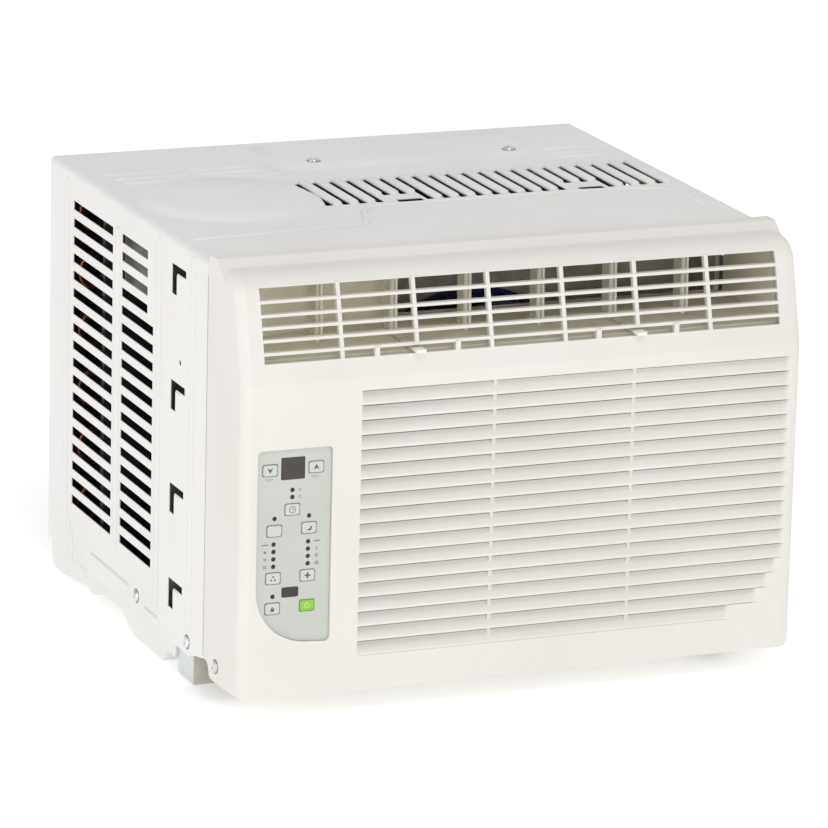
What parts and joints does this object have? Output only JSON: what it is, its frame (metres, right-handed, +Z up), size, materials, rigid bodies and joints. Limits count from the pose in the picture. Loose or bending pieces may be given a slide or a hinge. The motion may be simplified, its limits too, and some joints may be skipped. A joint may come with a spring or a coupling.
{
  "type": "window air conditioner",
  "caption": "Compact window-mounted room air conditioner with a louvred sheet casing, moulded front grille, key panel, swing vanes, slide-out filter, and fan and cooling circuit inside.",
  "frame": {"origin": "middle of the footprint, on the surface that the unit stands on", "axes": "+X to the right seen from the room, +Y towards the outdoors, +Z up"},
  "size_m": [0.4748, 0.4648, 0.356],
  "materials": {
    "enamel_steel": "semi-gloss baked enamel",
    "panel_plastic": "fine moulded texture",
    "overlay_film": "satin printed film",
    "smoked_window": "smoked, glossy",
    "receiver_filter": "dark infrared filter",
    "lamp_lens": "unlit dark lens",
    "key_plastic": "satin",
    "key_green": "satin",
    "zinc_plate": "zinc plated",
    "duct_plastic": "moulded",
    "box_plastic": "moulded",
    "shroud_plastic": "moulded",
    "motor_can": "black paint",
    "compressor_paint": "black enamel",
    "fin_aluminium": "bare rolled foil",
    "copper_tube": "bare copper",
    "circuit_board": "solder mask",
    "component_black": "moulded",
    "capacitor_can": "drawn can",
    "black_rubber": "moulded",
    "screw_steel": "nickel plated",
    "gland_plastic": "moulded",
    "sensor_plastic": "moulded",
    "wheel_plastic": "moulded",
    "filter_net": "woven net"
  },
  "bodies": {
    "chassis": {"base_pan": "enamel_steel", "cabinet_shell": "enamel_steel", "sill_bracket_left": "zinc_plate", "sill_bracket_right": "zinc_plate", "front_panel": "panel_plastic", "control_overlay": "overlay_film", "display_window": "smoked_window", "receiver_window": "receiver_filter", "indicator_lamps": "lamp_lens", "control_board": "circuit_board", "control_box": "box_plastic", "board_parts": "component_black", "run_capacitor": "capacitor_can", "discharge_duct": "duct_plastic", "scroll_housing": "duct_plastic", "bulkhead": "zinc_plate", "fan_motor": "motor_can", "motor_bracket": "zinc_plate", "condenser_shroud": "shroud_plastic", "evaporator_fins": "fin_aluminium", "evaporator_tubes": "copper_tube", "condenser_fins": "fin_aluminium", "condenser_tubes": "copper_tube", "compressor": "compressor_paint", "compressor_core": "motor_can", "compressor_grommets": "black_rubber", "compressor_nuts": "screw_steel", "terminal_cover": "component_black", "accumulator": "compressor_paint", "discharge_pipe": "copper_tube", "suction_pipe": "copper_tube", "filter_drier": "copper_tube", "capillary_tube": "copper_tube", "drain_tray": "duct_plastic", "casing_screws": "screw_steel", "cord_gland": "gland_plastic", "drain_plug": "black_rubber", "coil_sensor": "sensor_plastic"},
    "rotor": {"motor_shaft": "screw_steel", "blower_wheel": "wheel_plastic", "propeller_fan": "wheel_plastic"},
    "air_filter": {"filter_frame": "panel_plastic", "filter_mesh": "filter_net"},
    "vane_1": {"vane_1": "panel_plastic"},
    "vane_2": {"vane_2": "panel_plastic"},
    "vane_3": {"vane_3": "panel_plastic"},
    "vane_4": {"vane_4": "panel_plastic"},
    "vane_5": {"vane_5": "panel_plastic"},
    "vane_6": {"vane_6": "panel_plastic"},
    "vane_link_left": {"vane_link_left": "duct_plastic"},
    "vane_link_right": {"vane_link_right": "duct_plastic"},
    "key_temp_down": {"key_temp_down": "key_plastic"},
    "key_temp_up": {"key_temp_up": "key_plastic"},
    "key_timer": {"key_timer": "key_plastic"},
    "key_energy": {"key_energy": "key_plastic"},
    "key_sleep": {"key_sleep": "key_plastic"},
    "key_mode": {"key_mode": "key_plastic"},
    "key_fan": {"key_fan": "key_plastic"},
    "key_lock": {"key_lock": "key_plastic"},
    "key_power": {"key_power": "key_green"}
  },
  "joints": [
    {"name": "fan_spin", "type": "hinge", "parent": "chassis", "child": "rotor", "pos_m": [0.025, 0, 0.188], "axis": [0, 1, 0], "continuous": true},
    {"name": "filter_slide", "type": "slide", "parent": "chassis", "child": "air_filter", "axis": [1, 0, 0], "range_m": [0, 0.36]},
    {"name": "vane_2_swing", "type": "hinge", "parent": "chassis", "child": "vane_2", "pos_m": [-0.09075, -0.172, 0.312], "axis": [0, 0, 1], "range_deg": [-24, 24]},
    {"name": "vane_1_swing", "type": "hinge", "parent": "chassis", "child": "vane_1", "pos_m": [-0.1525, -0.172, 0.312], "axis": [0, 0, 1], "range_deg": [-24, 24]},
    {"name": "vane_3_swing", "type": "hinge", "parent": "chassis", "child": "vane_3", "pos_m": [-0.029, -0.172, 0.312], "axis": [0, 0, 1], "range_deg": [-24, 24]},
    {"name": "link_left_pivot", "type": "hinge", "parent": "vane_2", "child": "vane_link_left", "pos_m": [-0.09075, -0.158, 0.2875], "axis": [0, 0, 1], "range_deg": [-24, 24]},
    {"name": "vane_5_swing", "type": "hinge", "parent": "chassis", "child": "vane_5", "pos_m": [0.0945, -0.172, 0.312], "axis": [0, 0, 1], "range_deg": [-24, 24]},
    {"name": "vane_4_swing", "type": "hinge", "parent": "chassis", "child": "vane_4", "pos_m": [0.03275, -0.172, 0.312], "axis": [0, 0, 1], "range_deg": [-24, 24]},
    {"name": "vane_6_swing", "type": "hinge", "parent": "chassis", "child": "vane_6", "pos_m": [0.15625, -0.172, 0.312], "axis": [0, 0, 1], "range_deg": [-24, 24]},
    {"name": "link_right_pivot", "type": "hinge", "parent": "vane_5", "child": "vane_link_right", "pos_m": [0.0945, -0.158, 0.2875], "axis": [0, 0, 1], "range_deg": [-24, 24]},
    {"name": "key_temp_down_press", "type": "slide", "parent": "chassis", "child": "key_temp_down", "axis": [0, 1, 0], "range_m": [0, 0.0006], "stiffness_N_per_m": 500},
    {"name": "key_temp_up_press", "type": "slide", "parent": "chassis", "child": "key_temp_up", "axis": [0, 1, 0], "range_m": [0, 0.0006], "stiffness_N_per_m": 500},
    {"name": "key_timer_press", "type": "slide", "parent": "chassis", "child": "key_timer", "axis": [0, 1, 0], "range_m": [0, 0.0006], "stiffness_N_per_m": 500},
    {"name": "key_energy_press", "type": "slide", "parent": "chassis", "child": "key_energy", "axis": [0, 1, 0], "range_m": [0, 0.0006], "stiffness_N_per_m": 500},
    {"name": "key_sleep_press", "type": "slide", "parent": "chassis", "child": "key_sleep", "axis": [0, 1, 0], "range_m": [0, 0.0006], "stiffness_N_per_m": 500},
    {"name": "key_mode_press", "type": "slide", "parent": "chassis", "child": "key_mode", "axis": [0, 1, 0], "range_m": [0, 0.0006], "stiffness_N_per_m": 500},
    {"name": "key_fan_press", "type": "slide", "parent": "chassis", "child": "key_fan", "axis": [0, 1, 0], "range_m": [0, 0.0006], "stiffness_N_per_m": 500},
    {"name": "key_lock_press", "type": "slide", "parent": "chassis", "child": "key_lock", "axis": [0, 1, 0], "range_m": [0, 0.0006], "stiffness_N_per_m": 500},
    {"name": "key_power_press", "type": "slide", "parent": "chassis", "child": "key_power", "axis": [0, 1, 0], "range_m": [0, 0.0006], "stiffness_N_per_m": 500}
  ],
  "couplings": [
    {"joint": "vane_1_swing", "follows": "vane_2_swing", "ratio": 1},
    {"joint": "vane_3_swing", "follows": "vane_2_swing", "ratio": 1},
    {"joint": "link_left_pivot", "follows": "vane_2_swing", "ratio": -1},
    {"joint": "vane_4_swing", "follows": "vane_5_swing", "ratio": 1},
    {"joint": "vane_6_swing", "follows": "vane_5_swing", "ratio": 1},
    {"joint": "link_right_pivot", "follows": "vane_5_swing", "ratio": -1}
  ]
}
